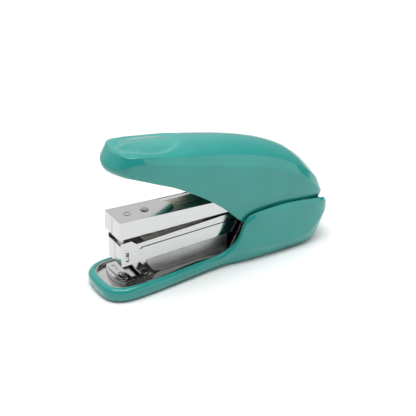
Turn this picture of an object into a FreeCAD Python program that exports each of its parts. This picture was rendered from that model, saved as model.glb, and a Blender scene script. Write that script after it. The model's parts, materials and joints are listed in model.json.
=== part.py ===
import FreeCAD, Part

import math
import os

# Compact desk stapler for 12.7 mm wide staples. Lengths are in millimetres.
# X runs from the nose (-X) to the hinge end (+X), Y across, Z up from the desk.
# The handle turns on the handle pin. Its roller presses the press arm, which turns
# on the arm pin and pushes the driver blade down through the nose of the magazine.

V = FreeCAD.Vector

# Overall sizes
base_front_x = -68.0
base_rear_x = 68.0
front_half_width = 17.0
waist_half_width = 14.0
rim_top_z = 7.6
wing_top_z = 30.0

# Clearances
gap = 0.3
pin_clearance = 0.06
slide_clearance = 0.08

# Base cover
cover_bottom_z = 0.8
cover_wall = 1.8
floor_thickness = 1.6
rim_width = 2.6
ledge_width = 2.0
front_corner_radius = 13.0
rear_corner_radius = 8.0
waist_x = -9.0
wing_front_x = 11.0
wing_full_x = 12.0
stern_rise_x = 52.0

# Base plate
plate_thickness = 1.0
plate_bottom_z = 4.6
plate_top_z = plate_bottom_z + plate_thickness
plate_rear_x = stern_rise_x + 1.0
plate_lip_height = 1.9
plate_lip_width = 0.7
ear_thickness = 1.2

# Pins
pin_radius = 2.0
handle_pin_x = 30.0
handle_pin_z = 36.0
arm_pin_x = 52.0
arm_pin_z = 22.0
clip_thickness = 0.6
clip_radius = 3.4

# Magazine
staple_width = 12.7
nose_front_x = -56.5
magazine_wall = 0.8
magazine_half_width = staple_width / 2 + 0.25 + magazine_wall
nose_top_z = 28.6
nose_bottom_z = 15.3
magazine_top_z = 26.2
magazine_rear_bottom_z = 17.0
seam = 0.3
rail_half_width = staple_width / 2 - 0.75
rail_sheet = 0.7
rail_top_z = 25.2
rail_bottom_z = 20.9
rail_front_x = nose_front_x + 2.2
rail_rear_x = 44.0
rod_radius = 1.0
rod_z = 22.9
pusher_length = 10.0
pusher_travel = 58.0
spring_wire = 0.5
spring_radius = 1.9

# Magazine guide, standing on the base plate
guide_half_width = magazine_half_width - magazine_wall - 0.4
guide_front_x = -42.0
guide_rear_x = 6.7
guide_top_z = 14.5
guide_sheet = 0.8

# Anvil
anvil_front_x = -59.7
anvil_rear_x = -41.0
anvil_half_width = 10.5
anvil_height = 2.6
anvil_sheet = 0.9
staple_x = -55.0
pad_height = 0.6

# Press arm
arm_wall = 0.8
arm_half_width = magazine_half_width + gap + arm_wall
arm_front_x = nose_front_x - 0.5 - arm_wall
arm_front_top_z = 41.2
arm_slope = math.radians(3.6)
arm_front_bottom_z = 31.6
arm_front_rake = 0.5
bend_radius = 0.7
tongue_tip_x = -23.0
blade_thickness = 0.6
blade_length = 12.4
arm_stroke = 5.8
leaf_thickness = 0.5

# Handle
handle_front_x = -62.5
handle_rear_x = 65.6
handle_wall = 1.8
handle_taper = 1.2
handle_top_z = 80.0
frame_sheet = 1.0
frame_half_width = arm_half_width + 0.5 + ear_thickness + 0.7 + frame_sheet
wing_half_width = frame_half_width + 6.1
handle_half_width = wing_half_width - cover_wall - 0.6
frame_top_z = 47.0
roller_radius = 3.0
roller_gap = 0.45
roller_x = 15.3


def box(x0, x1, y0, y1, z0, z1):
    return Part.makeBox(x1 - x0, y1 - y0, z1 - z0, V(x0, y0, z0))


def rod_y(radius, half_length, x, z):
    return Part.makeCylinder(radius, 2 * half_length, V(x, -half_length, z), V(0, 1, 0))


def rod_z_axis(radius, x, y, z0, z1):
    return Part.makeCylinder(radius, z1 - z0, V(x, y, z0))


def both_sides(shape):
    """The shape and its mirror image across the middle plane, as one group."""
    return [shape, shape.mirror(V(0, 0, 0), V(0, 1, 0))]


def fused(shapes):
    result = shapes[0].multiFuse(shapes[1:])
    return result.removeSplitter()


def side_plate(points, y0, y1):
    """A flat plate with its outline in the XZ plane, between y0 and y1."""
    corners = [V(x, y0, z) for x, z in points]
    face = Part.Face(Part.makePolygon(corners + [corners[0]]))
    return face.extrude(V(0, y1 - y0, 0))


def smooth_edge(points):
    curve = Part.BSplineCurve()
    curve.interpolate([V(*point) for point in points])
    return curve.toShape()


def straight_edge(start, end):
    return Part.LineSegment(V(*start), V(*end)).toShape()


def plan_wire(inset, z):
    """The base's outline seen from above, moved inwards by inset."""
    front = base_front_x + inset
    rear = base_rear_x - inset
    r_front = front_corner_radius - inset
    r_rear = max(rear_corner_radius - inset, 1.0)
    nose = front_half_width - inset
    waist = waist_half_width - inset
    wing = wing_half_width - inset
    corner = math.sqrt(0.5)
    half = [
        straight_edge((front, 0, z), (front, nose - r_front, z)),
        Part.Arc(
            V(front, nose - r_front, z),
            V(front + r_front * (1 - corner), nose - r_front * (1 - corner), z),
            V(front + r_front, nose, z),
        ).toShape(),
        smooth_edge([
            (front + r_front, nose, z),
            ((front + r_front + waist_x) / 2, (nose + waist) / 2 + 0.4, z),
            (waist_x, waist, z),
            ((waist_x + wing_full_x) / 2, (waist + wing) / 2, z),
            (wing_full_x, wing, z),
        ]),
        straight_edge((wing_full_x, wing, z), (rear - r_rear, wing, z)),
        Part.Arc(
            V(rear - r_rear, wing, z),
            V(rear - r_rear * (1 - corner), wing - r_rear * (1 - corner), z),
            V(rear, wing - r_rear, z),
        ).toShape(),
        straight_edge((rear, wing - r_rear, z), (rear, 0, z)),
    ]
    other = [edge.mirror(V(0, 0, 0), V(0, 1, 0)) for edge in half]
    return Part.Wire(Part.__sortEdges__(half + other))


def plan_prism(inset, z0, z1):
    return Part.Face(plan_wire(inset, z0)).extrude(V(0, 0, z1 - z0))


def screw_places():
    return [(-34.0, 0.0), (20.0, 0.0), (44.0, 0.0)]


def base_profile(inset):
    """The base cover seen from the side, with its wings and rising stern."""
    rear = base_rear_x - inset
    wide = 20.0
    bottom = cover_bottom_z + inset
    top = wing_top_z
    line = [
        (base_front_x, bottom),
        (stern_rise_x, bottom),
        (stern_rise_x + 8, bottom + 4.2),
        (rear - 3, bottom + 11),
        (rear - 0.6, bottom + 19),
        (rear, wing_top_z - 5.4),
        (rear - 10.5, wing_top_z - 3.2),
        (wing_front_x + 37, top - 1.2),
        (wing_front_x + 22, top),
        (wing_front_x + 9, top - 0.4),
        (wing_front_x, top - 1.6),
        (wing_front_x - 4.6, top - 8),
        (wing_front_x - 11, top - 18),
        (wing_front_x - 19, rim_top_z),
        (base_front_x, rim_top_z),
    ]
    return side_plate(line, -wide, wide)


def base_cover():
    floor_top = cover_bottom_z + floor_thickness
    body = plan_prism(0, cover_bottom_z, wing_top_z).common(base_profile(0))
    stern_room = base_profile(floor_thickness).fuse(box(-90, 90, -30, 30, plate_bottom_z, 60))
    stern_keep = side_plate([
        (stern_rise_x - 2, 0), (base_rear_x + 1, 0), (base_rear_x + 1, 22),
        (base_rear_x - 2.4, 20), (base_rear_x - 5.6, 12), (stern_rise_x + 5, 7.2),
        (plate_rear_x + gap, plate_top_z + 0.4), (plate_rear_x + gap, plate_bottom_z),
        (stern_rise_x - 2, plate_bottom_z),
    ], -30, 30)
    room = plan_prism(cover_wall, plate_bottom_z, 60).common(stern_room)
    upper = plan_prism(rim_width, plate_bottom_z, 60).fuse(
        room.common(box(wing_front_x - 14, 90, -30, 30, rim_top_z, 60)))
    lower = plan_prism(rim_width + ledge_width, floor_top, plate_bottom_z + 0.1)
    cover = body.cut(upper.fuse(lower).cut(stern_keep))
    bosses = [rod_z_axis(4.0, x, y, floor_top, plate_bottom_z) for x, y in screw_places()]
    cover = cover.multiFuse(bosses)
    for x, y in screw_places():
        cover = cover.cut(rod_z_axis(1.6, x, y, 0, plate_bottom_z + 1))
        cover = cover.cut(rod_z_axis(3.0, x, y, 0, floor_top - 0.2))
    for foot in (front_foot(), rear_foot()):
        cover = cover.cut(foot)
    return cover.removeSplitter()


def foot(x0, x1, half_width):
    pad = box(x0, x1, -half_width, half_width, 0, cover_bottom_z + 0.6)
    edges = [e for e in pad.Edges if abs(e.tangentAt(e.FirstParameter).z) > 0.9]
    return pad.makeFillet(5.0, edges)


def front_foot():
    return foot(base_front_x + 8, base_front_x + 28, front_half_width - 6)


def rear_foot():
    return foot(stern_rise_x - 27, stern_rise_x - 12.5, wing_half_width - 6)


def base_screws():
    floor_top = cover_bottom_z + floor_thickness
    screws = []
    for x, y in screw_places():
        head = rod_z_axis(2.6, x, y, floor_top - 1.5, floor_top - 0.2)
        shank = rod_z_axis(1.4, x, y, floor_top - 0.2, plate_top_z)
        socket = rod_z_axis(1.0, x, y, 0, floor_top - 0.8)
        screws.append(head.fuse(shank).cut(socket))
    return screws


def ear_inner():
    return arm_half_width + 0.5


def ear_outline():
    return [
        (4.0, plate_bottom_z + 0.2), (13.8, 22.4), (21.5, 31), (24.5, handle_pin_z + 3),
        (28, handle_pin_z + 5.5), (33, handle_pin_z + 5.5), (37, handle_pin_z + 3),
        (arm_pin_x + 5, arm_pin_z + 5), (arm_pin_x + 6, arm_pin_z - 2),
        (plate_rear_x, plate_bottom_z + 0.2),
    ]


def plate_lip():
    """Upturned edge that closes the plate against the rim, as far as the wings."""
    edge = rim_width + 0.2
    outer = plan_prism(edge, plate_top_z - 0.2, plate_top_z + plate_lip_height)
    inner = plan_prism(edge + plate_lip_width, plate_top_z - 1, plate_top_z + 5)
    return outer.cut(inner).common(box(-90, waist_x + 6, -30, 30, 0, 20))


def base_plate():
    floor = plan_prism(rim_width + 0.2, plate_bottom_z, plate_top_z)
    floor = floor.common(box(-90, plate_rear_x, -30, 30, 0, 20))
    inner = ear_inner()
    ears = both_sides(side_plate(ear_outline(), inner, inner + ear_thickness))
    plate = fused([floor, plate_lip()] + ears)
    plate = plate.cut(rod_y(pin_radius, 20, handle_pin_x, handle_pin_z))
    plate = plate.cut(rod_y(pin_radius, 20, arm_pin_x, arm_pin_z))
    for x, y in screw_places():
        plate = plate.cut(rod_z_axis(1.4, x, y, 0, 10))
    for x in guide_rivet_places():
        plate = plate.cut(rod_z_axis(1.2, x, 0, 0, 10))
    return plate.cut(rod_z_axis(1.5, stud_x(), stud_y(), 0, 10))


def stud_x():
    return anvil_rear_x - 2.6


def stud_y():
    return -6.6


def handle_pin():
    return rod_y(pin_radius, frame_half_width + 0.9, handle_pin_x, handle_pin_z)


def arm_pin():
    return rod_y(pin_radius, ear_inner() + ear_thickness + 1.2, arm_pin_x, arm_pin_z)


def pin_clips():
    clips = []
    handle_y = frame_half_width + 0.15
    arm_y = ear_inner() + ear_thickness + 0.15
    for x, z, y in ((handle_pin_x, handle_pin_z, handle_y), (arm_pin_x, arm_pin_z, arm_y)):
        ring = Part.makeCylinder(clip_radius, clip_thickness, V(x, y, z), V(0, 1, 0))
        ring = ring.cut(rod_y(pin_radius, 30, x, z))
        clips += both_sides(ring)
    return clips


def anvil_top_z():
    return plate_top_z + anvil_height


def anvil_outline(inset, z):
    front = anvil_front_x + inset
    rear = anvil_rear_x - inset
    half = anvil_half_width - inset
    bow = 3.2
    edges = [
        Part.Arc(V(front + bow, -half, z), V(front, 0, z), V(front + bow, half, z)).toShape(),
        straight_edge((front + bow, half, z), (rear, half, z)),
        straight_edge((rear, half, z), (rear, -half, z)),
        straight_edge((rear, -half, z), (front + bow, -half, z)),
    ]
    return Part.Face(Part.Wire(edges))


def anvil_window(z0, z1):
    half = staple_width / 2 + 1.1
    return box(anvil_rear_x - 10.4, anvil_rear_x - 4.8, -half, half, z0, z1)


def anvil_plate():
    top = anvil_top_z()
    outer = anvil_outline(0, plate_top_z).extrude(V(0, 0, anvil_height))
    inner = anvil_outline(anvil_sheet, plate_top_z).extrude(V(0, 0, anvil_height - anvil_sheet))
    plate = outer.cut(inner)
    plate = plate.cut(anvil_window(top - 2, top + 1))
    return plate.cut(rod_z_axis(1.5, stud_x(), stud_y(), top - 2, top + 1))


def anvil_pad():
    top = anvil_top_z()
    half_length = staple_width / 2 + 1.6
    pad = box(staple_x - 2.6, staple_x + 2.6, -half_length, half_length, top, top + pad_height)
    edges = [e for e in pad.Edges if abs(e.tangentAt(e.FirstParameter).z) > 0.9]
    pad = pad.makeFillet(2.4, edges)
    leg_y = staple_width / 2 - 0.25
    grooves = []
    for side in (-1, 1):
        start = side * (leg_y + 0.8)
        end = side * 1.0
        grooves.append(box(staple_x - 0.7, staple_x + 0.7, min(start, end), max(start, end),
                           top + pad_height - 0.35, top + 2))
    return pad.cut(grooves[0]).cut(grooves[1])


def anvil_stud():
    top = anvil_top_z()
    shank = rod_z_axis(1.5, stud_x(), stud_y(), plate_bottom_z, top)
    head = rod_z_axis(1.9, stud_x(), stud_y(), top, top + 0.5)
    return shank.fuse(head)


def guide_rivet_places():
    return [-8.0, 1.0]


def magazine_guide():
    half = guide_half_width
    outline = [
        (guide_front_x, guide_top_z), (guide_front_x, guide_top_z - 1.4),
        (guide_front_x + 2.0, plate_top_z + 4.2), (guide_front_x + 4.6, plate_top_z + 1.2),
        (guide_front_x + 8.0, plate_top_z), (guide_rear_x, plate_top_z),
        (guide_rear_x, guide_top_z + 0.9),
    ]
    outer = side_plate(outline, -half, half)
    inner = box(guide_front_x - 5, guide_rear_x + 5, guide_sheet - half, half - guide_sheet,
                plate_top_z + guide_sheet, guide_top_z + 9)
    front_open = box(guide_front_x - 5, guide_front_x + 8, guide_sheet - half,
                     half - guide_sheet, plate_top_z - 1, guide_top_z + 9)
    guide = outer.cut(inner).cut(front_open)
    for x in guide_rivet_places():
        guide = guide.cut(rod_z_axis(1.2, x, 0, 0, 10))
    return guide


def guide_rivets():
    top = plate_top_z + guide_sheet + leaf_thickness
    rivets = []
    for x in guide_rivet_places():
        shank = rod_z_axis(1.2, x, 0, plate_bottom_z, top)
        rivets.append(shank.fuse(rod_z_axis(1.9, x, 0, top, top + 0.6)))
    return rivets


def strap_x():
    return guide_front_x + 7


def lift_spring():
    """Leaf riveted in the guide, rising to the strap under the rail."""
    low = plate_top_z + guide_sheet
    high = rail_bottom_z - 1.2
    tip = strap_x() + 1.5
    half = guide_half_width - guide_sheet - gap
    line = [(4.0, low), (-11.0, low), (tip + 2.5, high - 1.0), (tip, high - leaf_thickness)]
    below = [(x, z) for x, z in line]
    above = [(x, z + leaf_thickness) for x, z in reversed(line)]
    leaf = side_plate(below + above, -half, half)
    for x in guide_rivet_places():
        leaf = leaf.cut(rod_z_axis(1.2, x, 0, 0, 30))
    return leaf


def magazine_channel():
    half = magazine_half_width
    inner = half - magazine_wall
    lug_x = arm_pin_x
    outline = [
        (nose_front_x, nose_bottom_z), (lug_x - 10, magazine_rear_bottom_z),
        (lug_x, arm_pin_z - 4.4), (lug_x + 4, arm_pin_z - 2), (lug_x + 4.4, arm_pin_z + 1.5),
        (lug_x + 2, magazine_top_z - 0.6), (lug_x, magazine_top_z - 0.3),
        (handle_pin_x, magazine_top_z + 0.6), (10, magazine_top_z + 1.8),
        (nose_front_x + 8.6, magazine_top_z), (nose_front_x + 5.9, nose_top_z),
        (nose_front_x, nose_top_z),
    ]
    walls = both_sides(side_plate(outline, inner, half))
    flange = box(nose_front_x, nose_front_x + magazine_wall, seam / 2, inner + 0.1,
                 nose_bottom_z, nose_top_z - 2.0)
    flanges = both_sides(flange)
    floor = box(10, lug_x - 9, -inner - 0.1, inner + 0.1, rail_bottom_z - 3.2, rail_bottom_z - 2.4)
    strap = box(strap_x() - 2, strap_x() + 3, -inner - 0.1, inner + 0.1,
                rail_bottom_z - 1.2, rail_bottom_z - 0.5)
    channel = rounded_fronts(fused(walls + flanges + [floor, strap]), half)
    channel = channel.cut(rod_y(pin_radius + pin_clearance, 20, arm_pin_x, arm_pin_z))
    slot = box(nose_front_x + 2.3, nose_front_x + 4.1, -20, 20, nose_bottom_z + 2.3,
               nose_bottom_z + 7.5)
    return channel.cut(slot).cut(groove_cut())


def groove_cut():
    """Shallow pressed line with a round start along each wall."""
    depth = 0.45
    start_x = nose_front_x + 11
    z0 = nose_bottom_z + 8.3
    outer = magazine_half_width
    cuts = []
    for y0, y1 in ((-outer - 1, depth - outer), (outer - depth, outer + 1)):
        line = side_plate([(start_x, z0 - 0.3), (arm_pin_x - 8, z0), (arm_pin_x - 8, z0 + 0.6),
                           (start_x, z0 + 0.3)], y0, y1)
        dot = Part.makeCylinder(0.9, y1 - y0, V(start_x, y0, z0), V(0, 1, 0))
        cuts += [line, dot]
    return cuts[0].multiFuse(cuts[1:])


def staple_rail():
    half = rail_half_width
    outer = box(rail_front_x, rail_rear_x, -half, half, rail_bottom_z, rail_top_z)
    inner = box(rail_front_x + rail_sheet, rail_rear_x + 5, rail_sheet - half,
                half - rail_sheet, rail_bottom_z - 5, rail_top_z - rail_sheet)
    slot = box(rail_front_x + 1.5, rail_rear_x - 3, -1.3, 1.3, rail_bottom_z, rail_top_z + 1)
    legs = both_sides(box(12, 26, half - rail_sheet, half, rail_bottom_z - 2.4, rail_bottom_z + 0.1))
    rail = fused([outer.cut(inner).cut(slot)] + legs)
    hole = Part.makeCylinder(rod_radius, 4, V(rail_front_x - 1, 0, rod_z), V(1, 0, 0))
    return rail.cut(hole)


def rod_stop_x():
    return rail_rear_x - 4


def guide_rod():
    length = rod_stop_x() + 3 - rail_front_x
    return Part.makeCylinder(rod_radius, length, V(rail_front_x, 0, rod_z), V(1, 0, 0))


def rod_stop():
    half = rail_half_width - rail_sheet
    x = rod_stop_x()
    block = box(x, x + 3, -half, half, rail_bottom_z, rail_top_z - rail_sheet)
    return block.cut(Part.makeCylinder(rod_radius, 9, V(x - 3, 0, rod_z), V(1, 0, 0)))


def pusher_front_x():
    return rail_front_x + rail_sheet + 0.8


def staple_pusher():
    x0 = pusher_front_x()
    x1 = x0 + pusher_length
    outer = magazine_half_width - magazine_wall - gap
    skirt = outer - rail_half_width - gap
    top = rail_top_z + gap
    saddle = box(x0, x1, -outer, outer, rail_bottom_z + 0.4, top + skirt)
    saddle = saddle.cut(box(x0 - 1, x1 + 1, skirt - outer, outer - skirt, 0, top))
    web = box(x0 + 1, x1 - 1, -1.0, 1.0, rod_z, top + 0.1)
    hub = box(x0 + 1, x1 - 1, -3.2, 3.2, rod_z - 1.8, rail_top_z - rail_sheet - gap)
    pusher = fused([saddle, web, hub])
    hole = Part.makeCylinder(rod_radius + slide_clearance, 30, V(x0 - 5, 0, rod_z), V(1, 0, 0))
    return pusher.cut(hole)


def pusher_spring():
    x0 = pusher_front_x() + pusher_length - 1 + 0.1
    length = rod_stop_x() - 0.1 - x0
    outer = Part.makeCylinder(spring_radius, length, V(x0, 0, rod_z), V(1, 0, 0))
    inner = Part.makeCylinder(spring_radius - spring_wire, length, V(x0, 0, rod_z), V(1, 0, 0))
    return outer.cut(inner)


def arm_top_at(x):
    return arm_front_top_z - (x - arm_front_x - arm_front_rake) * math.tan(arm_slope)


def arm_outline():
    hump_x = roller_x + 5
    return [
        (arm_front_x, arm_front_bottom_z), (arm_front_x + arm_front_rake, arm_front_top_z),
        (hump_x, arm_top_at(hump_x)), (handle_pin_x - 4, handle_pin_z - 3.6),
        (arm_pin_x - 4, arm_pin_z + 5), (arm_pin_x + 2, arm_pin_z + 4.4),
        (arm_pin_x + 4.6, arm_pin_z + 1), (arm_pin_x + 4, arm_pin_z - 3),
        (arm_pin_x, arm_pin_z - 4.6), (arm_pin_x - 5, arm_pin_z - 3),
        (handle_pin_x, handle_pin_z - 9.4), (6.6, 29.9),
    ]


def rounded_fronts(shape, half):
    """Bend radius on the folded upright corners at the front of a sheet part."""
    front = shape.BoundBox.XMin
    folds = []
    for edge in shape.Edges:
        box_ = edge.BoundBox
        upright = box_.ZLength > 3 and box_.YLength < 0.01 and box_.XMax < front + 0.9
        if upright and abs(abs(box_.YMin) - half) < 0.01:
            folds.append(edge)
    return shape.makeFillet(bend_radius, folds)


def tongue_outline(half):
    """One side of the arm's top: a full width channel that ends in a short tongue."""
    fold_end = tongue_tip_x - 5
    return [
        (arm_front_x - 1, -half), (fold_end, -half), (fold_end + 0.8, -half + 2.2),
        (fold_end + 2.4, -half + 4.6), (tongue_tip_x - 0.6, -2.2), (tongue_tip_x, -1.4),
    ]


def mirrored_outline(points):
    far = [(x, -y) for x, y in reversed(points)]
    corners = [V(x, y, 0) for x, y in points + far]
    return Part.makePolygon(corners + corners[:1])


def press_arm():
    half = arm_half_width
    inner = half - arm_wall
    walls = both_sides(side_plate(arm_outline(), inner, half))
    sheet = side_plate([
        (arm_front_x + arm_front_rake, arm_front_top_z), (tongue_tip_x, arm_top_at(tongue_tip_x)),
        (tongue_tip_x, arm_top_at(tongue_tip_x) - arm_wall),
        (arm_front_x + arm_front_rake, arm_front_top_z - arm_wall),
    ], -half, half)
    tongue = Part.Face(mirrored_outline(tongue_outline(half))).extrude(V(0, 0, 60))
    top = sheet.common(tongue)
    flange = side_plate([
        (arm_front_x, arm_front_bottom_z), (arm_front_x + arm_front_rake, arm_front_top_z - 0.1),
        (arm_front_x + arm_front_rake + arm_wall, arm_front_top_z - 0.1),
        (arm_front_x + arm_wall, arm_front_bottom_z),
    ], seam / 2, inner + 0.1)
    bridge_x = handle_pin_x + 8
    bridge = box(bridge_x, bridge_x + 4, -inner - 0.1, inner + 0.1, arm_pin_z + 6.2,
                 arm_pin_z + 7.0)
    ring = square_to_arm(2.0, arm_front_x + 8.8, -0.2, 0.2).cut(
        square_to_arm(1.4, arm_front_x + 8.8, -1, 1))
    arm = rounded_fronts(fused(walls + both_sides(flange) + [top, bridge, ring]), half)
    arm = arm.cut(rod_y(pin_radius + pin_clearance, 20, arm_pin_x, arm_pin_z))
    return arm.cut(square_to_arm(1.3, rivet_x(), -9, 9))


def rivet_x():
    return arm_front_x + 18.7


def leaf_line():
    start = rivet_x() - 5
    return [(start, arm_top_at(start) - arm_wall), (12, arm_top_at(12) - arm_wall)]


def driver_leaf():
    """Spring strip under the tongue that carries the blade, with a pressed rib."""
    (x0, z0), (x1, z1) = leaf_line()
    t = leaf_thickness
    half = arm_half_width - arm_wall - 1.6
    strip = side_plate([(x0, z0 - t), (x1, z1 - t), (x1, z1), (x0, z0)], -half, half)
    rib = side_plate([(tongue_tip_x + 2, arm_top_at(tongue_tip_x + 2) - arm_wall - 0.1),
                      (x1, z1 - 0.1), (x1, z1 + 0.5),
                      (tongue_tip_x + 2, arm_top_at(tongue_tip_x + 2) - arm_wall + 0.5)],
                     -1.0, 1.0)
    leaf = strip.fuse(rib)
    return leaf.cut(square_to_arm(1.3, rivet_x(), -9, 9))


def driver_blade():
    """Plate that pushes one staple out, held under the arm by the rivet."""
    x0 = nose_front_x + magazine_wall + gap + 0.1
    low = nose_bottom_z + 1.6
    half = staple_width / 2 - 0.05
    upright = box(x0, x0 + blade_thickness, -half, half, low, low + blade_length)
    upright.rotate(V(arm_pin_x, 0, arm_pin_z), V(0, 1, 0), arm_stroke)
    front = upright.BoundBox.XMax - blade_thickness
    rear = rivet_x() - 5
    z0 = arm_top_at(front) - arm_wall
    z1 = arm_top_at(rear) - arm_wall
    t = blade_thickness
    tab = side_plate([(front, z0 - t), (rear, z1 - t), (rear, z1), (front, z0)], -half, half)
    return fused([upright, tab])


def square_to_arm(radius, x, low, high):
    """An upright rod at x that stands square to the arm's top, low to high above it."""
    rod = rod_z_axis(radius, x, 0, arm_top_at(x) + low, arm_top_at(x) + high)
    rod.rotate(V(x, 0, arm_top_at(x)), V(0, 1, 0), math.degrees(arm_slope))
    return rod


def driver_rivet():
    under = -arm_wall - leaf_thickness
    shank = square_to_arm(1.3, rivet_x(), under - 0.4, 0.1)
    head = square_to_arm(2.0, rivet_x(), 0, 0.5)
    tail = square_to_arm(2.0, rivet_x(), under - 0.6, under)
    return fused([shank, head, tail])


def torsion_spring(x, z, radius, half_length, legs):
    """A close wound coil round a pin, with a straight leg at each end."""
    coil = rod_y(radius, half_length, x, z).cut(rod_y(radius - 0.8, half_length + 1, x, z))
    pieces = [coil]
    for y, (x0, z0), (x1, z1) in legs:
        direction = V(x1 - x0, 0, z1 - z0)
        pieces.append(Part.makeCylinder(0.35, direction.Length, V(x0, y, z0), direction))
    return fused(pieces)


def arm_spring():
    r = pin_radius + 1.3
    mid = r - 0.4
    legs = [
        (-4.4, (arm_pin_x, arm_pin_z + mid), (arm_pin_x - 13, arm_pin_z + 5.7)),
        (4.4, (arm_pin_x, arm_pin_z - mid), (arm_pin_x - 11, rail_bottom_z - 1.9)),
    ]
    return torsion_spring(arm_pin_x, arm_pin_z, r, 4.8, legs)


def return_spring():
    r = pin_radius + 1.3
    mid = r - 0.4
    legs = [
        (-6.0, (handle_pin_x, handle_pin_z + mid), (handle_pin_x - 12, frame_top_z - 1.5)),
        (6.0, (handle_pin_x, handle_pin_z + mid), (handle_pin_x + 13, handle_pin_z - 3)),
    ]
    return torsion_spring(handle_pin_x, handle_pin_z, r, 6.4, legs)


# Side, ridge and crown of the handle at each station along it:
# x, half width, side edge height, ridge half width, ridge height, crown height
handle_stations = [
    (0.0, 8.0, 74.0, 6.6, 76.2, 77.4),
    (0.055, 12.2, 75.0, 10.0, 77.4, 78.9),
    (0.125, 15.0, 73.4, 13.4, 76.2, 78.6),
    (0.25, 15.9, 69.2, 15.2, 73.9, 76.8),
    (0.40, 15.9, 63.9, 15.0, 70.2, 73.2),
    (0.55, 15.6, 58.3, 13.8, 65.7, 68.9),
    (0.68, 15.6, 53.2, 13.6, 60.4, 63.8),
    (0.80, 15.6, 47.6, 13.4, 53.8, 57.2),
    (0.90, 15.4, 40.8, 12.2, 45.4, 48.6),
    (0.96, 14.6, 34.6, 10.6, 38.4, 40.8),
    (1.0, 13.2, 29.6, 9.0, 31.8, 33.4),
]


def handle_section(share, half, side_z, ridge, ridge_z, crown_z, inset):
    length = handle_rear_x - handle_front_x
    x = handle_front_x + inset + share * (length - 2 * inset)
    drop = handle_top_z - 80.0
    half = half * handle_half_width / 15.6 - inset
    ridge = ridge * handle_half_width / 15.6 - inset
    low = 14.0
    low_half = half - handle_taper
    side_z, ridge_z, crown_z = (z + drop - inset for z in (side_z, ridge_z, crown_z))
    corners = [V(x, -ridge, ridge_z), V(x, -half, side_z), V(x, -low_half, low),
               V(x, low_half, low), V(x, half, side_z), V(x, ridge, ridge_z)]
    edges = [Part.LineSegment(a, b).toShape() for a, b in zip(corners, corners[1:])]
    edges.append(Part.Arc(corners[-1], V(x, 0, crown_z), corners[0]).toShape())
    return Part.Wire(edges)


def handle_loft(inset):
    wires = [handle_section(*station, inset) for station in handle_stations]
    return Part.makeLoft(wires, True, False)


def under_handle():
    """Everything below the handle's lower edge, which sweeps up to the front."""
    wide = 40
    edge = smooth_edge([
        (base_front_x - 2, -wide, 72.4), (-59, -wide, 70.8), (-47.6, -wide, 65),
        (-30.6, -wide, 57.1), (-13.8, -wide, 46.6), (-2.5, -wide, 37.9),
        (5.9, -wide, 29.8), (wing_front_x + 3, -wide, 23.0),
    ])
    rear = [V(wing_front_x + 3, -wide, 23.0), V(44, -wide, 23.0), V(49, -wide, 27.0),
            V(90, -wide, 27.0), V(90, -wide, 0), V(base_front_x - 2, -wide, 0),
            V(base_front_x - 2, -wide, 72.4)]
    lines = [Part.LineSegment(a, b).toShape() for a, b in zip(rear, rear[1:])]
    return Part.Face(Part.Wire([edge] + lines)).extrude(V(0, 2 * wide, 0))


def boss_places():
    return [(14.0, 0.0), (35.0, 0.0)]


def handle_cover():
    inner = handle_loft(handle_wall)
    shell = handle_loft(0).cut(inner)
    bosses = []
    for x, y in boss_places():
        boss = rod_z_axis(3.2, x, y, frame_top_z, handle_top_z)
        bosses.append(boss.common(inner))
    cover = shell.multiFuse(bosses).cut(under_handle())
    for x, y in boss_places():
        cover = cover.cut(rod_z_axis(1.3, x, y, frame_top_z - 1, frame_top_z + 6))
    return cover


def handle_frame():
    half = frame_half_width
    front = roller_x - 4
    rear = handle_pin_x + 9
    axle_z = roller_z()
    outline = [
        (front, axle_z - 2.5), (front, frame_top_z), (rear, frame_top_z),
        (rear, handle_pin_z + 1), (handle_pin_x + 3, handle_pin_z - 4),
        (handle_pin_x - 3, handle_pin_z - 4), (roller_x + 3, axle_z - 3.5),
        (roller_x - 2, axle_z - 3.5),
    ]
    walls = both_sides(side_plate(outline, half - frame_sheet, half))
    top = box(front, rear, -half, half, frame_top_z - frame_sheet, frame_top_z)
    frame = fused(walls + [top])
    frame = frame.cut(rod_y(pin_radius + pin_clearance, 20, handle_pin_x, handle_pin_z))
    frame = frame.cut(rod_y(1.2, 20, roller_x, axle_z))
    for x, y in boss_places():
        frame = frame.cut(rod_z_axis(1.5, x, y, 40, 60))
    return frame


def handle_screws():
    screws = []
    for x, y in boss_places():
        shank = rod_z_axis(1.3, x, y, frame_top_z - frame_sheet, frame_top_z + 5)
        head = rod_z_axis(2.5, x, y, frame_top_z - frame_sheet - 1.2, frame_top_z - frame_sheet)
        screws.append(fused([shank, head]))
    return screws


def roller_z():
    return arm_top_at(roller_x) + roller_radius + roller_gap


def force_roller():
    roller = rod_y(roller_radius, arm_half_width + 0.3, roller_x, roller_z())
    return roller.cut(rod_y(1.2 + pin_clearance, 20, roller_x, roller_z()))


def roller_pin():
    shaft = rod_y(1.2, frame_half_width, roller_x, roller_z())
    heads = both_sides(Part.makeCylinder(2.0, 0.5, V(roller_x, frame_half_width, roller_z()),
                                         V(0, 1, 0)))
    return fused([shaft] + heads)


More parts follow.
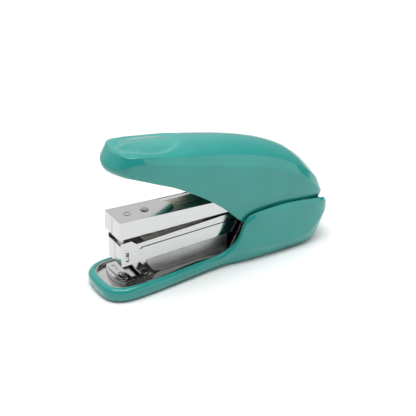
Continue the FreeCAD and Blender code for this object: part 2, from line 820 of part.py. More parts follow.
nodes = {
    "base_cover": base_cover,
    "base_plate": base_plate,
    "front_foot": front_foot,
    "rear_foot": rear_foot,
    "base_screws": base_screws,
    "anvil_plate": anvil_plate,
    "anvil_pad": anvil_pad,
    "anvil_stud": anvil_stud,
    "magazine_guide": magazine_guide,
    "guide_rivets": guide_rivets,
    "lift_spring": lift_spring,
    "handle_pin": handle_pin,
    "arm_pin": arm_pin,
    "pin_clips": pin_clips,
    "magazine_channel": magazine_channel,
    "staple_rail": staple_rail,
    "guide_rod": guide_rod,
    "rod_stop": rod_stop,
    "staple_pusher": staple_pusher,
    "pusher_spring": pusher_spring,
    "press_arm": press_arm,
    "driver_leaf": driver_leaf,
    "driver_blade": driver_blade,
    "driver_rivet": driver_rivet,
    "arm_spring": arm_spring,
    "handle_cover": handle_cover,
    "handle_frame": handle_frame,
    "handle_screws": handle_screws,
    "force_roller": force_roller,
    "roller_pin": roller_pin,
    "return_spring": return_spring,
}

os.makedirs("parts", exist_ok=True)
for name, make in nodes.items():
    shape = make()
    if isinstance(shape, list):
        shape = Part.makeCompound(shape)
    shape.exportStep("parts/" + name + ".step")
    size = shape.BoundBox
    print(name, len(shape.Solids), shape.isValid(), round(shape.Volume, 1),
          [round(v, 1) for v in (size.XMin, size.XMax, size.YMin, size.YMax, size.ZMin, size.ZMax)])
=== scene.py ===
import json
import math

import bmesh
import bpy
import numpy as np
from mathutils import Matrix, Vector


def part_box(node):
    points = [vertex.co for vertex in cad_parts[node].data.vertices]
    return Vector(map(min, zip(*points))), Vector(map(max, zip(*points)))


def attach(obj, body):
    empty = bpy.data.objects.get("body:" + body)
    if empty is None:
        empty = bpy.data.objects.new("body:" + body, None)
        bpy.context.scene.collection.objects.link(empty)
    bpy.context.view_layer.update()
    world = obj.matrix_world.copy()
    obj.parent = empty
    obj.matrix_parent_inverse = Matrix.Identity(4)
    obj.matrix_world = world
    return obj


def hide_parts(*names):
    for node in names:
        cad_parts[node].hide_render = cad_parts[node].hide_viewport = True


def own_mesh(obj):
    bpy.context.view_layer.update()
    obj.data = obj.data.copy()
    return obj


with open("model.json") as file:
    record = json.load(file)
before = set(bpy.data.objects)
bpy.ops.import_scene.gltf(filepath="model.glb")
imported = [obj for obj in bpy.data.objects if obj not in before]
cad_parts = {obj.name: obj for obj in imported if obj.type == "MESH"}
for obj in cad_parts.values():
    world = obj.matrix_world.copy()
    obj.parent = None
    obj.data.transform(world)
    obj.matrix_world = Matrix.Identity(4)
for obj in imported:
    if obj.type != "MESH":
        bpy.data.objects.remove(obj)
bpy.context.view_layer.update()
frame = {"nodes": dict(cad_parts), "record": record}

# A desk stapler. The steel works and the feet keep their CAD shapes and get plated,
# brushed or rubber surfaces. The two moulded covers, the coil springs and the lift leaf
# are built here. Lengths are in millimetres until a mesh is made, and each half shape is
# on the -Y side and mirrored.

MM = 0.001


def box_mm(node):
    """A CAD node's lowest and highest corners at rest."""
    low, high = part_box(node)
    return np.array(low) / MM, np.array(high) / MM


# ---------------------------------------------------------------- curves and meshes

MERGE_DISTANCE = 2e-6
DEGENERATE_EDGE = 1e-7
MIRRORED_POINTS = 4


def step_between(value, low, high):
    """0 up to low, 1 from high on, and a smooth step in between."""
    t = np.clip((value - low) / (high - low), 0, 1)
    return t * t * (3 - 2 * t)


def end_spaced(count):
    """Shares from 0 to 1, closer together near both ends."""
    t = np.linspace(0, 1, count)
    return t - 0.75 * np.sin(2 * np.pi * t) / (2 * np.pi)


def spline_knots(points):
    """Where each point lies along its spline, from 0 to 1."""
    steps = np.linalg.norm(np.diff(points, axis=0), axis=1)
    knots = np.concatenate([[0], np.cumsum(np.sqrt(steps))])
    return knots / knots[-1]


def smooth_line(points, at):
    """A natural cubic spline through points (n, d), read at each share from 0 to 1."""
    points = np.array(points, float)
    knots = spline_knots(points)
    n = len(points)
    h = np.diff(knots)
    left = np.eye(n)
    right = np.zeros((n, points.shape[1]))
    for i in range(1, n - 1):
        left[i, i - 1:i + 2] = h[i - 1], 2 * (h[i - 1] + h[i]), h[i]
        right[i] = 6 * ((points[i + 1] - points[i]) / h[i] - (points[i] - points[i - 1]) / h[i - 1])
    bend = np.linalg.solve(left, right)
    k = np.clip(np.searchsorted(knots, at) - 1, 0, n - 2)
    a = ((knots[k + 1] - at) / h[k])[:, None]
    b = 1 - a
    hk = h[k][:, None]
    return (a * points[k] + b * points[k + 1]
            + ((a ** 3 - a) * bend[k] + (b ** 3 - b) * bend[k + 1]) * hk ** 2 / 6)


def half_outline(points, count):
    """Stations round half an outline, square to the middle plane where they meet it."""
    half = np.array(points, float)
    other = half * (1, -1)
    extra = MIRRORED_POINTS
    whole = np.concatenate([other[extra:0:-1], half, other[-2:-2 - extra:-1]])
    knots = spline_knots(whole)
    first, last = knots[extra], knots[-1 - extra]
    line = smooth_line(whole, first + (last - first) * end_spaced(count))
    line[0, 1] = line[-1, 1] = 0
    return line


def height_along(pairs, x):
    """Smooth height through (x, z) pairs, without overshoot."""
    xs, zs = np.array(pairs, float).T
    slope = np.diff(zs) / np.diff(xs)
    tangent = np.zeros(len(xs))
    tangent[0], tangent[-1] = slope[0], slope[-1]
    for i in range(1, len(xs) - 1):
        if slope[i - 1] * slope[i] > 0:
            tangent[i] = 2 * slope[i - 1] * slope[i] / (slope[i - 1] + slope[i])
    x = np.clip(x, xs[0], xs[-1])
    k = np.clip(np.searchsorted(xs, x) - 1, 0, len(xs) - 2)
    h = xs[k + 1] - xs[k]
    t = (x - xs[k]) / h
    return ((1 + 2 * t) * (1 - t) ** 2 * zs[k] + t * (1 - t) ** 2 * h * tangent[k]
            + t * t * (3 - 2 * t) * zs[k + 1] + t * t * (t - 1) * h * tangent[k + 1])


def eased(values, reach=5):
    """Values along the stations with their small kinks smoothed out."""
    weights = np.hanning(2 * reach + 3)[1:-1]
    padded = np.concatenate([[values[0]] * reach, values, [values[-1]] * reach])
    return np.convolve(padded, weights / weights.sum(), "valid")


def inward(plan):
    """Unit vectors pointing into a half outline that runs front to rear on the -Y side."""
    along = np.gradient(plan, axis=0)
    along /= np.linalg.norm(along, axis=1)[:, None]
    normal = np.stack([-along[:, 1], along[:, 0]], 1)
    normal[0] = (1, 0)
    normal[-1] = (-1, 0)
    return normal


def moved_in(plan, inset):
    """The plan outline moved inwards, kept on its own side of the middle plane."""
    inner = plan + inward(plan) * np.reshape(inset, (-1, 1))
    inner[:, 1] = np.minimum(inner[:, 1], 0)
    inner[0, 1] = inner[-1, 1] = 0
    return inner


def rounded(rows, radii, steps):
    """Rounds each row's corners: rows are (stations, corners, 3), radii one per corner."""
    out = [rows[:, 0]]
    for k in range(1, rows.shape[1] - 1):
        before = rows[:, k - 1] - rows[:, k]
        after = rows[:, k + 1] - rows[:, k]
        len_b = np.linalg.norm(before, axis=1)[:, None] + 1e-9
        len_a = np.linalg.norm(after, axis=1)[:, None] + 1e-9
        cut = np.minimum(radii[k], 0.45 * np.minimum(len_b, len_a))
        start = rows[:, k] + before / len_b * cut
        end = rows[:, k] + after / len_a * cut
        if radii[k] == 0:
            out.append(rows[:, k])
            continue
        for t in np.linspace(0, 1, steps):
            out.append((1 - t) ** 2 * start + 2 * t * (1 - t) * rows[:, k] + t * t * end)
    out.append(rows[:, -1])
    return np.stack(out, 1)


def mirrored_mesh(name, rows):
    """A mesh from a half grid (stations, points, 3) on the -Y side and its mirror image."""
    n, m, _ = rows.shape
    other = rows * (1, -1, 1)
    verts = np.concatenate([rows.reshape(-1, 3), other.reshape(-1, 3)]) * MM
    faces = []
    for i in range(n - 1):
        for k in range(m - 1):
            a, b = i * m + k, (i + 1) * m + k
            faces.append((a, b, b + 1, a + 1))
            c, d = a + n * m, b + n * m
            faces.append((c, c + 1, d + 1, d))
    return cleaned(name, verts, faces)


def cleaned(name, verts, faces):
    """A smooth object from vertices in metres, with doubled points merged."""
    mesh = bpy.data.meshes.new(name)
    mesh.from_pydata([tuple(v) for v in verts], [], faces)
    work = bmesh.new()
    work.from_mesh(mesh)
    bmesh.ops.remove_doubles(work, verts=work.verts, dist=MERGE_DISTANCE)
    bmesh.ops.dissolve_degenerate(work, edges=work.edges, dist=DEGENERATE_EDGE)
    bmesh.ops.recalc_face_normals(work, faces=work.faces)
    work.to_mesh(mesh)
    work.free()
    mesh.shade_smooth()
    piece = bpy.data.objects.new(name, mesh)
    bpy.context.scene.collection.objects.link(piece)
    return piece


# ---------------------------------------------------------------- the handle cover
# Each table gives (x, value) pairs: insets from the widest line, and heights above the desk.

handle_low, handle_high = box_mm("handle_cover")

HANDLE_WALL = 1.7
HANDLE_LIP = 0.35
HANDLE_STATIONS = 170
HANDLE_SWELL = 0.5
EDGE_RADIUS, RIDGE_RADIUS = 2.6, 0.7
SIDE_ROWS, TOP_ROWS, HANDLE_ROUND_STEPS = 8, 26, 6
LIP_ANGLE = math.radians(55)
HANDLE_FRONT = handle_low[0] + 1.6
HANDLE_REAR = handle_high[0] + 0.2

# Plan of the widest line, from the middle of the front round the -Y side to the rear
HANDLE_PLAN = [
    (HANDLE_FRONT, 0), (HANDLE_FRONT + 0.6, -3.6), (HANDLE_FRONT + 2.0, -7.4),
    (HANDLE_FRONT + 4.3, -10.9), (HANDLE_FRONT + 7.4, -13.2), (HANDLE_FRONT + 12.2, -14.6),
    (-44, -15.4), (-34, -16.2), (-20, -16.5), (-4, -16.4), (10, -16.1), (24, -16.0),
    (40, -15.9), (50, -15.8), (57, -15.0), (62, -13.0), (HANDLE_REAR - 1.4, -9.4),
    (HANDLE_REAR - 0.2, -4.6), (HANDLE_REAR, 0),
]
RIDGE_INSET = [(-62, 4.8), (-59, 4.4), (-57, 3.2), (-54, 1.7), (-50, 1.1), (-44, 1.2), (-36, 1.6),
               (-24, 1.9), (-8, 2.4), (6, 3.2), (16, 3.5), (28, 3.2), (40, 2.8), (50, 2.6),
               (58, 2.6), (66, 2.6)]
RIDGE_HEIGHT = [(-57, 76.6), (-54, 77.3), (-49, 77.0), (-44, 76.1), (-36, 74.5), (-28, 72.9),
                (-18, 70.7), (-6, 68.0), (6, 65.1), (16, 62.2), (26, 58.7), (34, 55.3),
                (42, 51.1), (50, 45.7), (56, 40.6), (60, 36.6), (63, 33.0), (66, 29.6)]
EDGE_HEIGHT = [(-62, 71.2), (-58.6, 71.4), (-56, 72.2), (-52, 73.4), (-48.8, 73.8), (-38.4, 71.4),
               (-28, 68.6), (-13.7, 64.5), (3.6, 59.5), (21.5, 54.1), (30.7, 51.2), (40, 47.4),
               (49.8, 41.6), (54.9, 36.8), (59.2, 31.8), (63, 28.9), (66, 27.8)]
LOWER_HEIGHT = [(-61, 67.4), (-57.5, 67.4), (-54.6, 66.9), (-47.6, 64.5), (-38.7, 60.6),
                (-30.6, 57.0), (-25.7, 54.2), (-13.8, 46.6), (-2.5, 37.9), (5.9, 29.8),
                (10.3, 25.5), (13.5, 23.0), (18, 22.4), (42, 22.4), (47, 24.2), (52, 25.4),
                (66, 25.4)]
LOWER_INSET = [(-62, 1.5), (-50, 1.0), (-20, 1.1), (0, 1.6), (10, 2.0), (20, 2.0), (40, 1.5),
               (66, 1.2)]
CROWN = [(-57, 1.4), (-50, 2.9), (-36, 4.6), (-18, 5.5), (0, 5.8), (20, 6.0), (44, 5.9), (56, 5.0),
         (64, 3.4)]
CROWN_FRONT, CROWN_REAR = HANDLE_FRONT + 15, HANDLE_REAR - 8
DISH_X, DISH_LONG, DISH_WIDE, DISH_DEEP, DISH_EDGE = -37.0, 18.6, 12.6, 1.3, 0.42
NOTCH_X, NOTCH_LONG, NOTCH_WIDE, NOTCH_DEEP, NOTCH_EDGE = 50.5, 8.0, 2.9, 2.4, 0.45


def top_height(x, share):
    """Height of the handle's top: share is 1 on the ridge and 0 on the centre line."""
    return height_along(RIDGE_HEIGHT, x) + height_along(CROWN, x) * (1 - share ** 2)


def hollows(x, y):
    """Depth of the thumb dish and of the lens-shaped notch at the rear."""
    dish = 1 - ((x - DISH_X) / DISH_LONG) ** 2 - (y / DISH_WIDE) ** 2
    notch = 1 - ((x - NOTCH_X) / NOTCH_LONG) ** 2 - np.abs(y / NOTCH_WIDE)
    return (DISH_DEEP * step_between(dish, 0.0, DISH_EDGE),
            NOTCH_DEEP * step_between(notch, 0.0, NOTCH_EDGE))


def handle_side(lower, edge):
    """Rows up the side from the lower edge to the widest line, swelling a little."""
    rows = []
    for t in np.linspace(0, 1, SIDE_ROWS + 1)[:-1]:
        row = lower + (edge - lower) * t
        swell = HANDLE_SWELL * np.sin(np.pi * t)
        row[:, :2] = moved_in(row[:, :2], np.full(len(row), -swell))
        rows.append(row)
    return rows


def handle_top(ridge):
    """Rows from the ridge to the centre line, crowned and with both hollows."""
    span = 0.7 * (ridge[:, 0] - ridge[0, 0]) / (ridge[-1, 0] - ridge[0, 0])
    span += 0.3 * step_between(np.linspace(0, 1, len(ridge)), 0, 1)
    centre_x = CROWN_FRONT + (CROWN_REAR - CROWN_FRONT) * span
    smoothing = ridge[:, 2] - height_along(RIDGE_HEIGHT, ridge[:, 0])
    rows = []
    for share in np.linspace(1, 0, TOP_ROWS):
        x = centre_x + (ridge[:, 0] - centre_x) * share
        y = ridge[:, 1] * share
        dish, notch = hollows(x, y)
        rows.append(np.column_stack([x, y, top_height(x, share) + smoothing * share - dish - notch]))
    return rows


def handle_cover():
    """The green handle: a moulded shell, open below, with a rounded lower lip."""
    plan = half_outline(HANDLE_PLAN, HANDLE_STATIONS)
    edge = np.column_stack([plan, eased(height_along(EDGE_HEIGHT, plan[:, 0]))])
    ridge_plan = moved_in(plan, eased(height_along(RIDGE_INSET, plan[:, 0])))
    ridge = np.column_stack([ridge_plan, eased(height_along(RIDGE_HEIGHT, ridge_plan[:, 0]))])
    lower_plan = moved_in(plan, height_along(LOWER_INSET, plan[:, 0]))
    lower = np.column_stack([lower_plan, height_along(LOWER_HEIGHT, lower_plan[:, 0])])
    corners = np.stack(handle_side(lower, edge) + [edge] + handle_top(ridge), 1)
    radii = [0.0] * corners.shape[1]
    radii[SIDE_ROWS] = EDGE_RADIUS
    radii[SIDE_ROWS + 1] = RIDGE_RADIUS
    cover = mirrored_mesh("handle_shell", rounded(corners, radii, HANDLE_ROUND_STEPS))
    thick = cover.modifiers.new("wall", "SOLIDIFY")
    thick.thickness = HANDLE_WALL * MM
    thick.offset = -1
    lip = cover.modifiers.new("lip", "BEVEL")
    lip.width = HANDLE_LIP * MM
    lip.segments = 2
    lip.limit_method = "ANGLE"
    lip.angle_limit = LIP_ANGLE
    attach(cover, "handle")
    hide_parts("handle_cover")
    return cover


# ---------------------------------------------------------------- the base cover

base_low, base_high = box_mm("base_cover")

BASE_FRONT, BASE_REAR = base_low[0], base_high[0]
BASE_STATIONS, BASE_ROUND_STEPS, BEVEL_EASE = 190, 7, 7
BEVEL_BELOW_RIM, BEVEL_ABOVE_UNDER = 3.0, 1.0
FLOOR_Z = box_mm("base_plate")[0][2] - 0.05
FLOOR_WALL = 1.6
STERN_X = 52
WALL_DRAFT = 0.2
LEDGE_WIDTH = 1.0
BASE_RADII = [0, 0.8, 1.3, 1.2, 0.6, 0.5, 0.3, 0, 0]

BASE_PLAN = [
    (BASE_FRONT - 0.6, 0), (BASE_FRONT - 0.4, -5.2), (BASE_FRONT + 1.0, -11.0),
    (BASE_FRONT + 5.4, -15.6), (BASE_FRONT + 12.5, -17.6), (-43, -17.4), (-28, -16.3),
    (-14, -15.2), (-4, -14.9), (4, -15.5), (11, -17.0), (20, -17.85), (32, -18.1), (44, -18.1),
    (54, -17.8), (61, -16.6), (65.4, -14.0), (67.6, -9.8), (BASE_REAR + 0.3, -4.8),
    (BASE_REAR + 0.4, 0),
]
RIM_HEIGHT = [(-69, 7.7), (-16, 7.7), (-6, 8.2), (-1.5, 9.0), (1.5, 10.3), (4, 12.0), (6.6, 14.8),
              (8.4, 18.0), (9.6, 21.4), (10.6, 24.6), (12.0, 27.0), (14.4, 28.5), (18, 29.3),
              (24, 29.9), (33.5, 30.1), (45, 29.2), (57, 27.1), (62, 25.9), (65, 24.8),
              (66.6, 23.2), (67.8, 21.0), (69, 19.0)]
RIM_WIDTH = [(-69, 3.7), (-60, 3.4), (-44, 3.0), (-30, 2.8), (-10, 2.7), (0, 2.5), (8, 1.9),
             (13, 1.7), (69, 1.7)]
BEVEL_HEIGHT = [(-69, 3.2), (-40, 3.2), (-20, 3.6), (-8, 5.0), (0, 7.0), (5, 8.8), (11, 10.0),
                (22, 8.7), (32, 7.2), (42, 6.2), (49, 6.8), (54, 9.2), (58, 12.6), (61, 15.4),
                (64, 17.2), (69, 17.6)]
LIP_DROP = [(-69, 1.5), (-20, 1.5), (6, 1.8), (14, 2.3), (56, 2.3), (69, 2.0)]
LIP_RUN = [(-69, 1.5), (-20, 1.2), (6, 1.0), (14, 1.15), (69, 1.1)]
UNDER_INSET = [(-69, 0.9), (-60, 1.1), (-40, 1.5), (-20, 1.9), (-4, 2.4), (8, 2.9), (20, 3.2),
               (34, 3.2), (50, 2.8), (60, 2.4), (69, 2.0)]
UNDER_HEIGHT = [(-69, 0.6), (47, 0.6), (52, 1.2), (56, 3.0), (60, 6.6), (63, 10.6), (66, 14.8),
                (69, 16.4)]


def at_height(outline, z):
    """A plan outline lifted to a height, or to one height per station."""
    return np.column_stack([outline, np.broadcast_to(z, len(outline))])


def centre_line(outline, z):
    """The outline's stations moved onto the middle plane."""
    return at_height(outline * (1, 0), z)


def base_cover():
    """The green base: underside, bevel, side wall, rounded rim, inner wall and floor."""
    plan = half_outline(BASE_PLAN, BASE_STATIONS)
    x = plan[:, 0]
    rim = height_along(RIM_HEIGHT, x)
    width = height_along(RIM_WIDTH, x)
    bevel = eased(np.minimum(height_along(BEVEL_HEIGHT, x), rim - BEVEL_BELOW_RIM), BEVEL_EASE)
    under_plan = moved_in(plan, height_along(UNDER_INSET, x))
    under_z = height_along(UNDER_HEIGHT, under_plan[:, 0])
    bevel = np.maximum(bevel, under_z + BEVEL_ABOVE_UNDER)
    ledge = moved_in(plan, width + LEDGE_WIDTH)
    stern_floor = np.maximum(FLOOR_Z, height_along(UNDER_HEIGHT, x) + FLOOR_WALL)
    floor = np.where(x > STERN_X, stern_floor, FLOOR_Z)
    corners = np.stack([
        centre_line(under_plan, under_z),
        at_height(under_plan, under_z),
        at_height(plan, bevel),
        at_height(plan, rim - height_along(LIP_DROP, x)),
        at_height(moved_in(plan, height_along(LIP_RUN, x)), rim - 0.1),
        at_height(moved_in(plan, width), rim),
        at_height(moved_in(plan, width + WALL_DRAFT), floor),
        at_height(ledge, floor),
        centre_line(ledge, floor),
    ], 1)
    cover = mirrored_mesh("base_shell", rounded(corners, BASE_RADII, BASE_ROUND_STEPS))
    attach(cover, "base")
    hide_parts("base_cover")
    return cover


# ---------------------------------------------------------------- springs

PUSHER_WIRE, PUSHER_COIL, PUSHER_TURNS = 0.24, 1.62, 62
TORSION_WIRE, TORSION_COIL = 0.38, 2.85
ARM_COIL_HALF, ARM_COIL_TURNS, ARM_COIL_LEGS = 4.4, 9.5, ((-13, 0, 5.7), (-11, 0, -1.7))
HANDLE_COIL_HALF, HANDLE_COIL_TURNS, HANDLE_COIL_LEGS = 6.0, 13, ((-12, 0, 9.5), (13, 0, -3))
LEAF_THICK = 0.4
LEAF_STATIONS = 48
LEAF_TIP_TAPER = 0.45


def wire(name, path, radius, sides=8):
    """A round wire along a path of points, closed at both ends."""
    path = np.array(path, float)
    along = np.gradient(path, axis=0)
    along /= np.linalg.norm(along, axis=1)[:, None]
    up = np.cross(along[0], (0.31, 0.94, 0.13))
    verts, faces = [], []
    turn = np.linspace(0, 2 * np.pi, sides, endpoint=False)
    for point, direction in zip(path, along):
        up = up - direction * np.dot(up, direction)
        up /= np.linalg.norm(up)
        side = np.cross(direction, up)
        verts.extend(point + radius * (np.outer(np.cos(turn), up) + np.outer(np.sin(turn), side)))
    for i in range(len(path) - 1):
        for k in range(sides):
            a, b = i * sides + k, i * sides + (k + 1) % sides
            faces.append((a, b, b + sides, a + sides))
    faces.append(tuple(range(sides))[::-1])
    faces.append(tuple(range((len(path) - 1) * sides, len(path) * sides)))
    return cleaned(name, np.array(verts) * MM, faces)


def coil_points(start, end, radius, turns, steps=14):
    """Points of a coil from start to end, beginning at its top."""
    start, end = np.array(start, float), np.array(end, float)
    axis = (end - start) / np.linalg.norm(end - start)
    top = np.array((0.0, 0.0, 1.0))
    side = np.cross(axis, top)
    share = np.linspace(0, 1, int(turns * steps) + 1)
    angle = 2 * np.pi * turns * share
    centre = start + np.outer(share, end - start)
    return centre + radius * (np.outer(np.cos(angle), top) + np.outer(np.sin(angle), side))


def place_spring(piece, body, node):
    """Makes a spring move with its body and stand for its CAD node."""
    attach(piece, body)
    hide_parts(node)


def pusher_spring():
    """The coil behind the pusher, at its rest length."""
    low, high = box_mm("pusher_spring")
    _, y, z = (low + high) / 2
    path = coil_points((low[0] + PUSHER_WIRE, y, z), (high[0] - PUSHER_WIRE, y, z),
                       PUSHER_COIL, PUSHER_TURNS)
    coil = wire("pusher_coil", path, PUSHER_WIRE, 7)
    place_spring(coil, "magazine", "pusher_spring")
    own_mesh(coil)
    return coil


def torsion_coil(name, pin_node, half_length, turns, first_leg, last_leg):
    """A coil round a pin that runs across, with a straight leg from each end."""
    pin_low, pin_high = box_mm(pin_node)
    pin = (pin_low + pin_high) / 2
    path = list(coil_points((pin[0], -half_length, pin[2]), (pin[0], half_length, pin[2]),
                            TORSION_COIL, turns))
    start = pin + np.array(first_leg, float)
    finish = pin + np.array(last_leg, float)
    start[1], finish[1] = -half_length, half_length
    return wire(name, [start] + path + [finish], TORSION_WIRE)


def arm_spring():
    """The coil on the arm's pin that lifts the arm off the magazine."""
    coil = torsion_coil("arm_coil", "arm_pin", ARM_COIL_HALF, ARM_COIL_TURNS, *ARM_COIL_LEGS)
    place_spring(coil, "arm", "arm_spring")
    return coil


def return_spring():
    """The coil on the handle's pin that lifts the handle."""
    coil = torsion_coil("handle_coil", "handle_pin", HANDLE_COIL_HALF, HANDLE_COIL_TURNS,
                        *HANDLE_COIL_LEGS)
    place_spring(coil, "handle", "return_spring")
    return coil


def lift_leaf():
    """The leaf that holds the magazine up, from its rivets forward and up to its tip."""
    low, high = box_mm("lift_spring")
    heel = low[2] + LEAF_THICK / 2
    line = [(high[0], heel), (-4, heel), (-10.2, heel), (-12.4, heel + 0.9),
            (low[0] + 6, high[2] - 4.4), (low[0] + 2.6, high[2] - 1.1),
            (low[0], high[2] - LEAF_THICK)]
    share = np.linspace(0, 1, LEAF_STATIONS)
    path = smooth_line(line, share)
    along = np.gradient(path, axis=0)
    along /= np.linalg.norm(along, axis=1)[:, None]
    across = np.stack([-along[:, 1], along[:, 0]], 1) * LEAF_THICK / 2
    half = high[1] * (1 - LEAF_TIP_TAPER * step_between(share, 0.9, 1.05))
    verts, faces = [], []
    for centre, offset, reach in zip(path, across, half):
        for side, sign in ((-1, 1), (1, 1), (1, -1), (-1, -1)):
            x, z = centre + sign * offset
            verts.append((x, side * reach, z))
    for i in range(len(path) - 1):
        for k in range(4):
            a, b = 4 * i + k, 4 * i + (k + 1) % 4
            faces.append((a, b, b + 4, a + 4))
    faces += [(3, 2, 1, 0), tuple(range(4 * len(path) - 4, 4 * len(path)))]
    leaf = cleaned("lift_leaf", np.array(verts) * MM, faces)
    leaf.data.shade_flat()
    place_spring(leaf, "base", "lift_spring")
    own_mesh(leaf)
    return leaf


# ---------------------------------------------------------------- materials

TEAL = (0.017, 0.276, 0.246)
PEARL = (0.10, 0.52, 0.48)
# How far the painted crevice shade reaches, in metres.
CREVICE_SHADE_REACH = 0.0007
FINE_BUMP = 0.0001
STREAK_BUMP = 0.00005


def shaded(color, amount):
    """A colour made darker or lighter by a factor."""
    return tuple(amount * c for c in color)


def new_material(name, color, metallic, roughness):
    """A material with these values on its shader, and the shader itself."""
    material = bpy.data.materials.new(name)
    material.use_nodes = True
    shader = material.node_tree.nodes["Principled BSDF"]
    shader.inputs["Base Color"].default_value = (*color, 1)
    shader.inputs["Metallic"].default_value = metallic
    shader.inputs["Roughness"].default_value = roughness
    return material, shader


class Nodes:
    """Short names for building one material's node tree."""

    def __init__(self, material):
        self.tree = material.node_tree
        self.place = self.add("ShaderNodeTexCoord").outputs["Object"]

    def add(self, kind, **inputs):
        """A new node with its inputs set by name."""
        node = self.tree.nodes.new(kind)
        for key, value in inputs.items():
            node.inputs[key.replace("_", " ")].default_value = value
        return node

    def link(self, output, target):
        self.tree.links.new(output, target)

    def noise(self, scale, detail, stretch=(1, 1, 1)):
        """Cloudy noise in object space, drawn out where stretch is small."""
        mapping = self.add("ShaderNodeMapping")
        mapping.inputs["Scale"].default_value = stretch
        self.link(self.place, mapping.inputs["Vector"])
        noise = self.add("ShaderNodeTexNoise", Scale=scale, Detail=detail)
        self.link(mapping.outputs["Vector"], noise.inputs["Vector"])
        return noise.outputs["Fac"]

    def ramp(self, source, stops):
        """Two colours blended by a source between two places."""
        ramp = self.add("ShaderNodeValToRGB")
        for end, (place, color) in zip(ramp.color_ramp.elements, stops):
            end.position = place
            end.color = (*color, 1)
        self.link(source, ramp.inputs["Fac"])
        return ramp.outputs["Color"]

    def remap(self, source, low, high, to_low, to_high):
        """A source's range moved to another range."""
        node = self.add("ShaderNodeMapRange")
        for key, value in (("From Min", low), ("From Max", high), ("To Min", to_low),
                           ("To Max", to_high)):
            node.inputs[key].default_value = value
        self.link(source, node.inputs["Value"])
        return node.outputs["Result"]

    def mix(self, factor, a, b):
        """Colours a and b, plain or from a node, blended by a factor from a node."""
        node = self.tree.nodes.new("ShaderNodeMix")
        node.data_type = "RGBA"
        self.link(factor, node.inputs[0])
        for source, index in ((a, 6), (b, 7)):
            if hasattr(source, "links"):
                self.link(source, node.inputs[index])
            else:
                node.inputs[index].default_value = (*source, 1)
        return node.outputs[2]

    def bump(self, shader, height, strength, distance):
        """Fine relief on the shader from a height source."""
        node = self.add("ShaderNodeBump", Strength=strength, Distance=distance)
        self.link(height, node.inputs["Height"])
        self.link(node.outputs["Normal"], shader.inputs["Normal"])

    def painted_crevice_shade(self, reach):
        """1 in corners and grooves narrower than reach, 0 on open faces: a mask for painted shade.
        """
        shade = self.add("ShaderNodeAmbientOcclusion", Distance=reach)
        shade.samples = 6
        return self.remap(shade.outputs["AO"], 0.35, 0.85, 1, 0)


def green_plastic():
    """Glossy moulded teal with a faint pearl mottle under a clear skin."""
    material, shader = new_material("teal_gloss", TEAL, 0.0, 0.30)
    shader.inputs["Coat Weight"].default_value = 0.85
    shader.inputs["Coat Roughness"].default_value = 0.06
    shader.inputs["Specular IOR Level"].default_value = 0.15
    n = Nodes(material)
    cloud = n.noise(55, 2)
    pearl = n.noise(5200, 1)
    tone = n.ramp(cloud, [(0.35, shaded(TEAL, 0.95)), (0.65, shaded(TEAL, 1.05))])
    tone = n.mix(n.remap(pearl, 0.50, 0.75, 0, 0.10), tone, PEARL)
    n.link(tone, shader.inputs["Base Color"])
    n.link(n.remap(cloud, 0.3, 0.7, 0.27, 0.33), shader.inputs["Roughness"])
    n.bump(shader, n.noise(700, 1), 0.015, FINE_BUMP)
    return material


def metal(name, color, rough, streaks, streak_strength, mottle):
    """Plated or brushed steel: drawn streaks, a slight mottle, and shade painted darker into its
    crevices.
    """
    material, shader = new_material(name, color, 1.0, rough)
    n = Nodes(material)
    cloud = n.noise(220, 5)
    lines = n.noise(900, 3, streaks)
    tone = n.mix(n.remap(cloud, 0.35, 0.65, 0, mottle * 4), color, shaded(color, 0.75))
    # Painted shade: the colour is darkened in corners and grooves, where shade falls.
    tone = n.mix(n.painted_crevice_shade(CREVICE_SHADE_REACH), tone, shaded(color, 0.12))
    n.link(tone, shader.inputs["Base Color"])
    n.link(n.remap(lines, 0.3, 0.7, max(rough - 0.05, 0.02), rough + 0.07),
           shader.inputs["Roughness"])
    n.bump(shader, lines, streak_strength, STREAK_BUMP)
    return material


def rubber():
    """Matt black rubber with a coarse grain."""
    material, shader = new_material("black_rubber", (0.02, 0.02, 0.02), 0.0, 0.75)
    n = Nodes(material)
    grain = n.noise(1800, 4)
    n.link(n.ramp(grain, [(0.3, (0.012, 0.012, 0.012)), (0.7, (0.035, 0.035, 0.034))]),
           shader.inputs["Base Color"])
    n.bump(shader, grain, 0.3, FINE_BUMP)
    return material


def black_nylon():
    """Satin black nylon with a fine spark-eroded grain."""
    material, shader = new_material("black_nylon", (0.03, 0.03, 0.032), 0.0, 0.45)
    n = Nodes(material)
    grain = n.noise(2200, 3)
    n.link(n.remap(grain, 0.3, 0.7, 0.38, 0.55), shader.inputs["Roughness"])
    n.link(n.ramp(grain, [(0.3, (0.022, 0.022, 0.024)), (0.7, (0.042, 0.042, 0.045))]),
           shader.inputs["Base Color"])
    n.bump(shader, grain, 0.15, FINE_BUMP)
    return material


ALONG, ACROSS, EVEN = (0.05, 1, 1), (1, 0.05, 1), (1, 1, 1)

MATERIALS = {
    "green_plastic": green_plastic(),
    "chrome_sheet": metal("bright_plate", (0.59, 0.595, 0.59), 0.12, ALONG, 0.03, 0.03),
    "plate_steel": metal("plated_steel", (0.56, 0.56, 0.56), 0.20, ALONG, 0.05, 0.05),
    "dark_steel": metal("grey_steel", (0.60, 0.595, 0.58), 0.42, (0.08, 1, 1), 0.06, 0.08),
    "pin_steel": metal("ground_steel", (0.66, 0.66, 0.67), 0.16, ACROSS, 0.04, 0.04),
    "spring_steel": metal("spring_wire", (0.48, 0.48, 0.49), 0.25, EVEN, 0.04, 0.06),
    "bronze_leaf": metal("bronze_strip", (0.62, 0.54, 0.43), 0.38, (0.04, 1, 1), 0.10, 0.08),
    "black_screw": metal("black_oxide", (0.07, 0.07, 0.075), 0.38, EVEN, 0.08, 0.08),
    "foot_rubber": rubber(),
    "pusher_plastic": black_nylon(),
}

WELD_DISTANCE = 0.002
SHEARED_EDGE = 0.12
FLAT_ANGLE, EDGE_ANGLE = math.radians(0.6), math.radians(32)


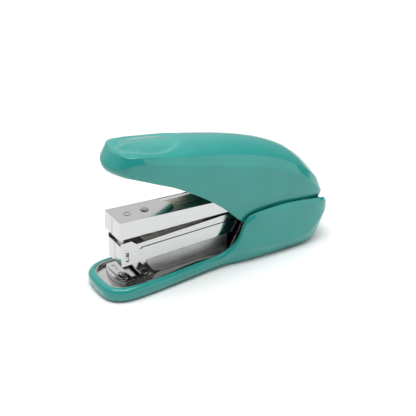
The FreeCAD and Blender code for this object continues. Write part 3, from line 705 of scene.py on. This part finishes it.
def dress_cad_nodes():
    """Gives every CAD node its slot's material, and breaks its sheared edges."""
    slots = {row["node"]: row["material_slot"] for row in frame["record"]["subparts"]}
    for node, piece in frame["nodes"].items():
        piece.data.materials.clear()
        piece.data.materials.append(MATERIALS[slots[node]])
        weld = piece.modifiers.new("weld", "WELD")
        weld.merge_threshold = WELD_DISTANCE * MM
        flat = piece.modifiers.new("flat_faces", "DECIMATE")
        flat.decimate_type = "DISSOLVE"
        flat.angle_limit = FLAT_ANGLE
        edge = piece.modifiers.new("edges", "BEVEL")
        edge.width = SHEARED_EDGE * MM
        edge.segments = 2
        edge.limit_method = "ANGLE"
        edge.angle_limit = EDGE_ANGLE
        edge.use_clamp_overlap = True
        piece.modifiers.new("even_shading", "WEIGHTED_NORMAL").keep_sharp = True


# ---------------------------------------------------------------- stage

# The world is brightest towards LIGHT_FROM: pairs of closeness to it and brightness
LIGHT_FROM = (0.05, 0.55, 0.83)
LIGHT_LEVELS = [(0.0, 0.05), (0.30, 0.20), (0.55, 0.50), (0.90, 1.0)]

# Each lamp's name, place, aim, size and power, in metres and watts
LAMPS = [
    ("side_card", (0.74, -0.80, 0.30), (0, 0, 0.05), (1.1, 0.56), 2.5),
    ("overhead", (-0.1, -0.12, 1.0), (0, 0, 0.03), (0.9, 0.7), 10.0),
]
FLOOR_HALF = 3.0
FLOOR_COLOR = (0.93, 0.93, 0.93)
CAMERA_AZIMUTH, CAMERA_ELEVATION = math.radians(-31.5), math.radians(28.9)
CAMERA_DISTANCE = 0.6017
CAMERA_LENS, CAMERA_SENSOR = 99.5, 36
AIM_BACK, AIM_HEIGHT = 0.0014, 0.0301


def area_light(name, place, aim, size, power):
    """A soft rectangular light, turned towards its aim."""
    light = bpy.data.lights.new(name, "AREA")
    light.shape = "RECTANGLE"
    light.size, light.size_y = size
    light.energy = power
    lamp = bpy.data.objects.new(name, light)
    lamp.location = place
    lamp.rotation_euler = (Vector(aim) - Vector(place)).to_track_quat("-Z", "Y").to_euler()
    bpy.context.scene.collection.objects.link(lamp)


def studio_world():
    """Soft light from above and behind, and a dark room in front of the object."""
    world = bpy.data.worlds.new("studio")
    world.use_nodes = True
    tree = world.node_tree
    place = tree.nodes.new("ShaderNodeTexCoord")
    dot = tree.nodes.new("ShaderNodeVectorMath")
    dot.operation = "DOT_PRODUCT"
    dot.inputs[1].default_value = LIGHT_FROM
    tree.links.new(place.outputs["Generated"], dot.inputs[0])
    ramp = tree.nodes.new("ShaderNodeValToRGB")
    ends = ramp.color_ramp.elements
    ends.new(0.5)
    ends.new(0.6)
    for end, (where, level) in zip(ends, LIGHT_LEVELS):
        end.position = where
        end.color = (level, level, level, 1)
    tree.links.new(dot.outputs["Value"], ramp.inputs["Fac"])
    tree.links.new(ramp.outputs["Color"], tree.nodes["Background"].inputs["Color"])
    return world


def stage():
    """A plain pale floor, the lights and the world."""
    mesh = bpy.data.meshes.new("floor")
    r = FLOOR_HALF
    mesh.from_pydata([(-r, -r, 0), (r, -r, 0), (r, r, 0), (-r, r, 0)], [], [(0, 1, 2, 3)])
    floor = bpy.data.objects.new("floor", mesh)
    bpy.context.scene.collection.objects.link(floor)
    material, _ = new_material("pale_floor", FLOOR_COLOR, 0.0, 0.6)
    floor.data.materials.append(material)
    bpy.context.scene.world = studio_world()
    for lamp in LAMPS:
        area_light(*lamp)
    bpy.context.scene.view_settings.view_transform = "Standard"
    bpy.context.scene.view_settings.look = "None"


def camera():
    """The camera, in front and to the left, aimed near the middle of the base."""
    centre = (base_low + base_high) / 2 * MM
    aim = Vector((centre[0] - AIM_BACK, 0, AIM_HEIGHT))
    level = math.cos(CAMERA_ELEVATION)
    back = Vector((math.sin(CAMERA_AZIMUTH) * level, -math.cos(CAMERA_AZIMUTH) * level,
                   math.sin(CAMERA_ELEVATION)))
    lens = bpy.data.cameras.new("camera")
    lens.lens = CAMERA_LENS
    lens.sensor_width = CAMERA_SENSOR
    lens.clip_start = 0.01
    view = bpy.data.objects.new("camera", lens)
    view.location = aim + back * CAMERA_DISTANCE
    view.rotation_euler = back.to_track_quat("Z", "Y").to_euler()
    bpy.context.scene.collection.objects.link(view)
    bpy.context.scene.camera = view


camera()
stage()
dress_cad_nodes()
for build in (handle_cover, base_cover):
    build().data.materials.append(MATERIALS["green_plastic"])
for build in (arm_spring, return_spring, pusher_spring, lift_leaf):
    build().data.materials.append(MATERIALS["spring_steel"])
